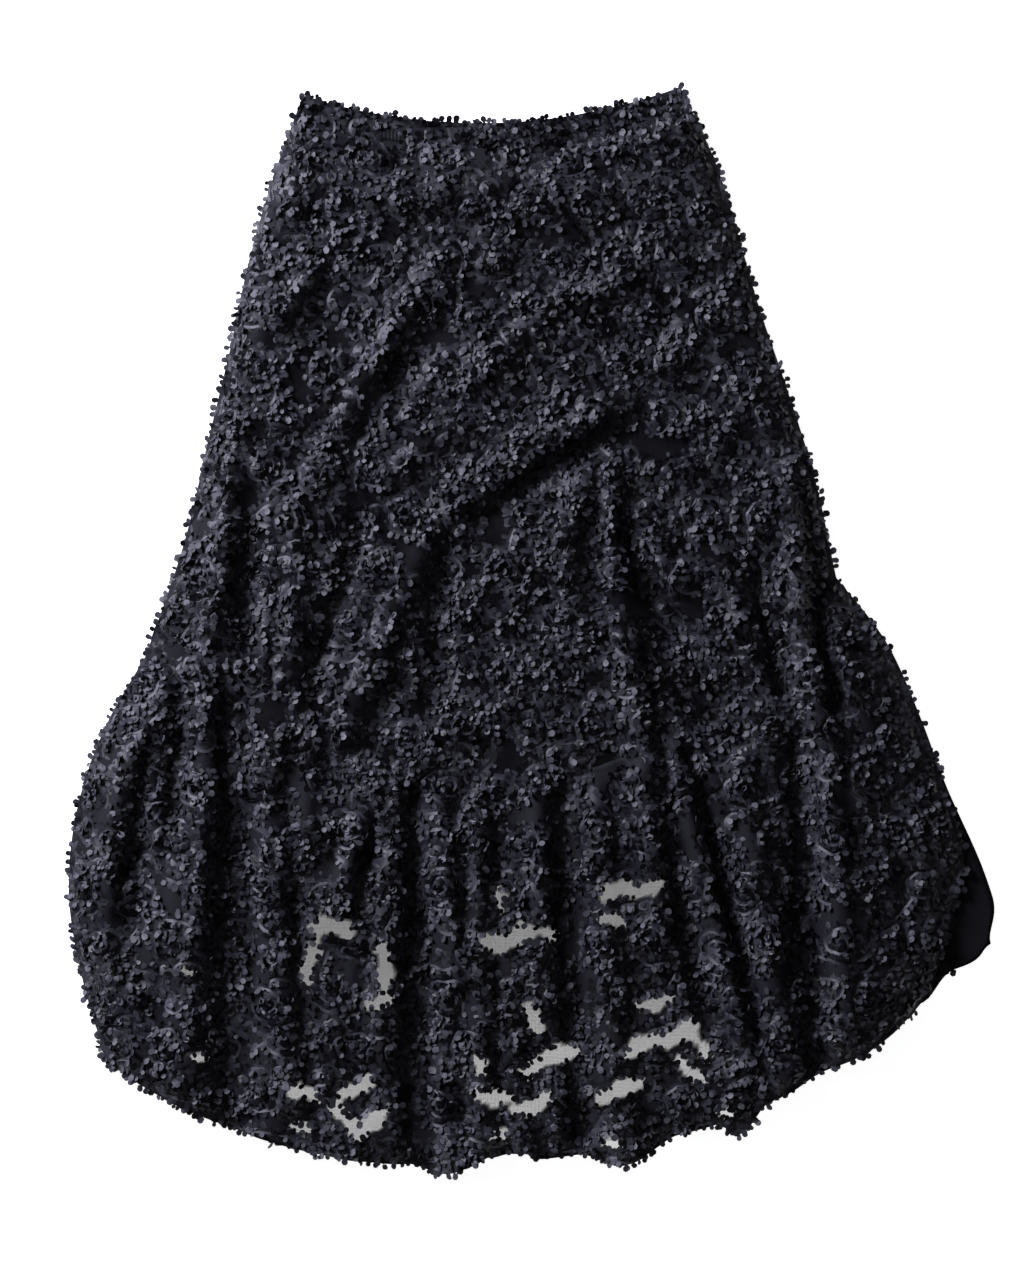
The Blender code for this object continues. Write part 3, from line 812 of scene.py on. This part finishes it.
def tab_shape(corners, cup):
    """Outline of a round tab on its neck, seen flat, with a middle above and one below."""
    outline = [(0.0, -TAB_NECK)]
    for angle in np.radians(np.linspace(-TAB_SWEEP, TAB_SWEEP, corners)):
        outline.append((TAB_LENGTH + TAB_RADIUS * math.cos(angle), TAB_RADIUS * math.sin(angle)))
    outline.append((0.0, TAB_NECK))
    points = [(along, beside, 0.0) for along, beside in outline]
    points += [(TAB_LENGTH, 0.0, cup + half) for half in (TAB_THICKNESS / 2, -TAB_THICKNESS / 2)]
    count = len(outline)
    faces = []
    for corner in range(count):
        following = (corner + 1) % count
        faces += [(corner, following, count), (following, corner, count + 1)]
    return np.array(points), np.array(faces)


def tabs(root, way, width, size, bend, corners, cup):
    """Points and faces of a tab at each root, pointing its way and bent up or down.

    The third value is how many points each tab has.
    """
    points, faces = tab_shape(corners, cup)
    along = points[None, :, 0] * size[:, None]
    beside = points[None, :, 1] * size[:, None]
    out = points[None, :, 0] / (TAB_LENGTH + TAB_RADIUS)
    lift = points[None, :, 2] + bend[:, None] * out**2
    face_up = np.cross(way, width)
    co = root[:, None] + along[..., None] * way[:, None] + beside[..., None] * width[:, None]
    co = co + lift[..., None] * face_up[:, None]
    steps = np.arange(len(root))[:, None, None] * len(points)
    return co.reshape(-1, 3), (faces[None] + steps).reshape(-1, 3), len(points)


def wing_strip(foot, edge, path):
    """Half of the ribbon, between neighbouring stitches of one path, from its foot outwards."""
    joined = np.flatnonzero(np.diff(path) == 0)
    apart = np.linalg.norm(foot[joined + 1] - foot[joined], axis=-1)
    joined = joined[apart < STITCH_STEP * STITCH_BREAK]
    a, b, count = joined, joined + 1, len(foot)
    halves = np.stack((a, b, b + count), -1), np.stack((a, b + count, a + count), -1)
    return np.concatenate((foot, edge)), np.concatenate(halves)


# Soft ribbon with a dull shine, blue-black, some tabs lighter than others, and painted light
# and shade in patches.
RIBBON_DARK, RIBBON_LIGHT = (0.007, 0.007, 0.009, 1.0), (0.034, 0.0335, 0.043, 1.0)
ribbon = Finish("black_ribbon", {"Specular IOR Level": 0.36})
ribbon_shade = ribbon.node("Attribute", {"attribute_name": "shade"}, output=2)
ribbon_weave = ribbon.node(
    "TexNoise", None,
    {"Vector": ribbon.node("TexCoord", output=3), "Scale": 1400.0, "Detail": 1.0},
)
ribbon.set({"Base Color": ribbon.mix(ribbon_shade, RIBBON_DARK, RIBBON_LIGHT)})
ribbon.set({"Roughness": 0.48 + ribbon_shade * 0.16})
ribbon.bump(ribbon_weave, 0.0001)


def lace_object(name, parts, shades):
    """One mesh of ribbon from many small ones, with a shade for each point: its tone and painted
    light.
    """
    points, faces, total = [], [], 0
    for co, face in parts:
        points.append(co)
        faces.append(face + total)
        total += len(co)
    points, faces = np.concatenate(points) * MM, np.concatenate(faces)
    mesh = bpy.data.meshes.new(name)
    mesh.vertices.add(len(points))
    mesh.vertices.foreach_set("co", points.ravel())
    mesh.loops.add(faces.size)
    mesh.loops.foreach_set("vertex_index", faces.ravel())
    mesh.polygons.add(len(faces))
    mesh.polygons.foreach_set("loop_start", np.arange(len(faces)) * 3)
    mesh.update(calc_edges=True)
    mesh.shade_smooth()
    mesh.set_sharp_from_angle(angle=math.radians(70))
    mark = mesh.attributes.new("shade", "FLOAT", "POINT")
    mark.data.foreach_set("value", np.concatenate(shades))
    mesh.materials.append(ribbon.material)
    piece = bpy.data.objects.new(name, mesh)
    bpy.context.scene.collection.objects.link(piece)
    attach(piece, "root")
    return piece


# How one half of the ribbon stands, in degrees from the cloth: its mean, and how far it
# swings along the ribbon. tabs_from is 0 or 1, so that the tabs of the two edges alternate.
# The tabs on its edge droop a little, and curl up or down by at most curl, in mm. The last
# value is the share of the tabs that show, and the rest are folded away.
Wing = namedtuple("Wing", "side mean swing tabs_from droop curl shown")
ROSE_WINGS = Wing(1, 22, 20, 0, 8, 1.8, 1), Wing(-1, 36, 24, 1, 8, 1.8, 1)
CURL_WINGS = Wing(1, 12, 18, 0, 6, 1.8, 1), Wing(-1, 18, 20, 1, 6, 1.8, 1)
EDGE_WINGS = Wing(1, 10, 22, 0, 6, 2.0, 0.8), Wing(-1, 14, 24, 1, 6, 2.0, 0.8)
PRESSED_WINGS = Wing(1, 0, 2, 0, 0, 0.1, 1), Wing(-1, 0, 2, 1, 0, 0.1, 1)


def petal_lace(name, stitches, level, wings, seed, pressed=False):
    """Ribbon sewn by its middle, with both edges standing up and ending in round tabs.

    Pressed ribbon lies flat under the skirt, with fewer and simpler tabs.
    """
    chance = np.random.default_rng(seed)
    corners, tab_step, cup = (5, 4, TAB_CUP / 2) if pressed else (6, 2, TAB_CUP)
    root, run, side, up = frames_on(level, stitches, leaning=not pressed)
    count = len(root)
    place = np.arange(count)
    # Painted light and shade: the ribbon is lighter or darker in patches, as if its pile faced
    # towards or away from the window.
    patch = 0.5 + pile_lean(stitches.x, stitches.y, 4) / PILE_LEAN / PATCH_RANGE
    foot = root + up * TAB_THICKNESS
    parts, shades = [], []
    for wing in wings:
        turn = np.sin(place / 5.3 + stitches.path * 1.7 + wing.side)
        turn = turn + np.sin(place / 2.9 - stitches.path)
        lean = np.radians(wing.mean + wing.swing * turn * TAB_SPREAD)[:, None]
        outward = side * wing.side
        rising = np.cos(lean) * outward + np.sin(lean) * up
        edge = foot + RIBBON_HALF * rising
        parts.append(wing_strip(foot, edge, stitches.path))
        shades.append(np.tile(STRIP_SHADE + PAINTED_LIGHT_SHARE * patch, 2))
        chosen = place[wing.tabs_from::tab_step]
        chosen = chosen[chance.random(len(chosen)) < wing.shown]
        number = len(chosen)
        yaw = np.radians(chance.normal(0, TAB_YAW, number))[:, None]
        droop = np.radians(chance.normal(-wing.droop, wing.swing * TAB_SPREAD, number))[:, None]
        way = np.cos(droop) * rising[chosen] + np.sin(droop) * up[chosen]
        way = unit(np.cos(yaw) * way + np.sin(yaw) * run[chosen])
        width = unit(np.cross(way, np.cross(run[chosen], way)))
        roll = np.radians(chance.normal(0, wing.swing * TAB_SPREAD, number))[:, None]
        width = np.cos(roll) * width + np.sin(roll) * np.cross(way, width)
        width = width * chance.choice((-1, 1), number)[:, None]
        size = chance.uniform(*TAB_SIZES, number)
        bend = chance.uniform(-wing.curl, wing.curl, number)
        co, faces, points = tabs(edge[chosen], way, width, size, bend, corners, cup)
        parts.append((co, faces))
        shade = TAB_SHADE * chance.random(number) + PAINTED_LIGHT_SHARE * patch[chosen]
        shades.append(np.repeat(shade, points))
    for points, _ in parts:
        points[:, 2] = np.maximum(points[:, 2], PRESSED_LEVEL / 2)
    return lace_object(name, parts, shades)


def body_level(x, y):
    """Height of the front body under the points x, y."""
    share, across = unplan_body(x, y)
    return front_level(x, y, share, across, ruffle=False)


def ruffle_level(x, y):
    """Height of the front ruffle under the points x, y."""
    share, across = unplan_ruffle(x, y)
    return front_level(x, y, share, across, ruffle=True)


# An edge has a short ribbon at every few stitches. Half its length, its bow and how far it
# lies in from the edge are in mm, and its tilt is in degrees.
EDGE_STEP, EDGE_HALVES, EDGE_BOW, EDGE_INSETS, EDGE_TILT = 4, (8, 15), 2, (3.5, 7), 18


def edge_lines(rows, seed, free_top=False, drop=None):
    """Short ribbons all along a panel's sides, and along its top and hem if free.

    Each is turned a little from the edge, so that tabs stick out past it unevenly.
    """
    chance = random.Random(seed)
    down, across, t = np.linspace(0, 1, 80), np.linspace(0, 1, 120), np.linspace(-1, 1, 12)
    edges = [(*plan(rows, down, np.full_like(down, side)), 1 - 2 * side) for side in (0, 1)]
    if free_top:
        edges.append((*plan(rows, np.zeros_like(across), across), -1))
    if drop:
        x, y = plan(rows, np.ones_like(across), across)
        edges.append((x, y - drop(x), 1))
    lines = []
    for x, y, inward in edges:
        px, py, run_x, run_y = even_points(x, y)
        for number in range(1, len(px), EDGE_STEP):
            inset = chance.uniform(*EDGE_INSETS) * inward
            heading = math.atan2(run_y[number], run_x[number])
            heading += math.radians(chance.gauss(0, EDGE_TILT))
            along = t * chance.uniform(*EDGE_HALVES)
            bow = chance.uniform(-EDGE_BOW, EDGE_BOW) * (1 - t**2)
            line_x = px[number] - run_y[number] * inset
            line_x = line_x + along * math.cos(heading) - bow * math.sin(heading)
            line_y = py[number] + run_x[number] * inset
            line_y = line_y + along * math.sin(heading) + bow * math.cos(heading)
            lines.append((line_x, line_y, chance.choice((-1, 1))))
    return lines


body_lace, ruffle_lace = [], []
roses = clear_of_gaps(gather_stitches(rose_lines(31)))
curls = clear_of_gaps(gather_stitches(curl_lines(32, crowd=0.9)))
for kind, wings, stitches in (("roses", ROSE_WINGS, roses), ("curls", CURL_WINGS, curls)):
    kept = on_panel(stitches, unplan_body, BODY_REACH)
    body_lace.append(petal_lace("body_front_" + kind, kept, body_level, wings, 41))
    kept = on_panel(stitches, unplan_ruffle, RUFFLE_REACH)
    ruffle_lace.append(petal_lace("ruffle_front_" + kind, kept, ruffle_level, wings, 42))
around = clear_of_gaps(gather_stitches(gap_lines()))
ruffle_lace.append(petal_lace("ruffle_front_gap_edges", around, ruffle_level, CURL_WINGS, 45))
edges = gather_stitches(edge_lines(BODY, 61, free_top=True))
edges = on_panel(edges, unplan_body, BODY_EDGES)
body_lace.append(petal_lace("body_front_edges", edges, body_level, EDGE_WINGS, 43))
edges = clear_of_gaps(gather_stitches(edge_lines(RUFFLE_FRONT, 62, drop=hem_drop)))
edges = on_panel(edges, unplan_ruffle, RUFFLE_EDGES)
ruffle_lace.append(petal_lace("ruffle_front_edges", edges, ruffle_level, EDGE_WINGS, 44))

# Lace of the back
# The back's right side faces the surface, so its ribbon lies under its net, pressed flat by
# the weight of the skirt.

BACK_BODY_REACH, BACK_RUFFLE_REACH = Reach(0.01, 0.02, 1), Reach(0, 0.02, 0.97)


def unplan_back_ruffle(x, y):
    """The share and the place across on the back half of the ruffle."""
    return unplan(RUFFLE_BACK, x, y)


def pressed_level(x, y):
    """The same height everywhere."""
    return np.full_like(x, PRESSED_LEVEL)


back_roses = clear_of_gaps(gather_stitches(rose_lines(51)))
back_curls = clear_of_gaps(gather_stitches(curl_lines(52, crowd=0.4)))
kept = on_panel(back_roses, unplan_body, BACK_BODY_REACH)
piece = petal_lace("body_back_roses", kept, pressed_level, PRESSED_WINGS, 53, pressed=True)
for kind, stitches in (("roses", back_roses), ("curls", back_curls)):
    kept = on_panel(stitches, unplan_back_ruffle, BACK_RUFFLE_REACH)
    piece = petal_lace("ruffle_back_" + kind, kept, pressed_level, PRESSED_WINGS, 54, pressed=True)

# Waistband
# A narrow elastic band, folded to the inside, joins the lace and the lining at the waist.

BAND_LEVELS = {"waistband_back": 1.5, "waistband_front": 4.9}
BAND_THICKNESS, RIB_WAVE = 2.4, 0.15
elastic = Finish("black_elastic", {"Base Color": SATIN_BLACK})
elastic.set({"Roughness": 0.8, "Specular IOR Level": 0.2})
elastic_rib = elastic.node(
    "TexWave", {"bands_direction": "X"},
    {"Vector": elastic.node("UVMap", {"uv_map": "cloth"}), "Scale": 90.0, "Distortion": 1.5},
    output=1,
)
elastic.bump(elastic_rib, 0.0003)


def band_place(level):
    """The band follows the body's top, and its ribs make it wave a little."""
    def place(share, across):
        x, y = plan(BODY, share * BAND_END, across)
        return x, y, level + RIB_WAVE * np.sin(x / 3.5)
    return place


for node, level in BAND_LEVELS.items():
    band = cloth_sheet(node + "_elastic", 90, 6, band_place(level), BAND_THICKNESS, elastic.material)
    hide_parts(node)

# Studio
# A plain pale floor, soft light from the upper left, and a camera straight above.

# The photo's height in pixels, of 0.95 mm each, and its middle and the camera's height in m.
VIEW_HEIGHT = 1273 * 0.95 * MM
CAMERA_HEIGHT = 3.2
PHOTO_MIDDLE = (-0.0176, -0.0026)
PAPER_DARK, PAPER_LIGHT = (0.78, 0.78, 0.78, 1.0), (0.80, 0.80, 0.80, 1.0)
PAPER_GLOW = (0.93, 0.93, 0.93, 1.0)

bpy.ops.object.select_all(action="DESELECT")
bpy.ops.mesh.primitive_grid_add(x_subdivisions=8, y_subdivisions=8, size=8)
floor = bpy.context.object
floor.name = "floor"
paper = Finish("white_paper", {"Roughness": 0.9, "Emission Strength": 1.0})
speck = paper.node("TexNoise", None, {"Vector": paper.node("TexCoord", output=3), "Scale": 3.0})
paper.set({"Base Color": paper.mix(speck, PAPER_DARK, PAPER_LIGHT)})
paper.set({"Emission Color": PAPER_GLOW})
floor.data.materials.append(paper.material)

# The window's place, in metres from the middle of the skirt, its side, power and colour.
WINDOW_PLACE, WINDOW_SIDE = (-2.24, 1.52, 1.15), 1.3
WINDOW_POWER, WINDOW_COLOUR = 228.0, (0.87, 0.88, 1.06)
ROOM_COLOUR, ROOM_STRENGTH = (0.93, 0.96, 1.0, 1.0), 0.09

glow = bpy.data.lights.new("window", "AREA")
glow.size = WINDOW_SIDE
glow.energy = WINDOW_POWER
glow.color = WINDOW_COLOUR
window = bpy.data.objects.new("window", glow)
window.location = WINDOW_PLACE
window.rotation_euler = Vector(WINDOW_PLACE).to_track_quat("Z", "Y").to_euler()
bpy.context.scene.collection.objects.link(window)

world = bpy.data.worlds.new("studio")
bpy.context.scene.world = world
world.use_nodes = True
background = world.node_tree.nodes["Background"]
background.inputs["Color"].default_value = ROOM_COLOUR
background.inputs["Strength"].default_value = ROOM_STRENGTH

lens = bpy.data.cameras.new("camera")
lens.sensor_fit = "VERTICAL"
lens.lens = lens.sensor_height * CAMERA_HEIGHT / VIEW_HEIGHT
camera = bpy.data.objects.new("camera", lens)
camera.location = (*PHOTO_MIDDLE, CAMERA_HEIGHT)
bpy.context.scene.collection.objects.link(camera)
bpy.context.scene.camera = camera
bpy.context.scene.view_settings.view_transform = "Standard"
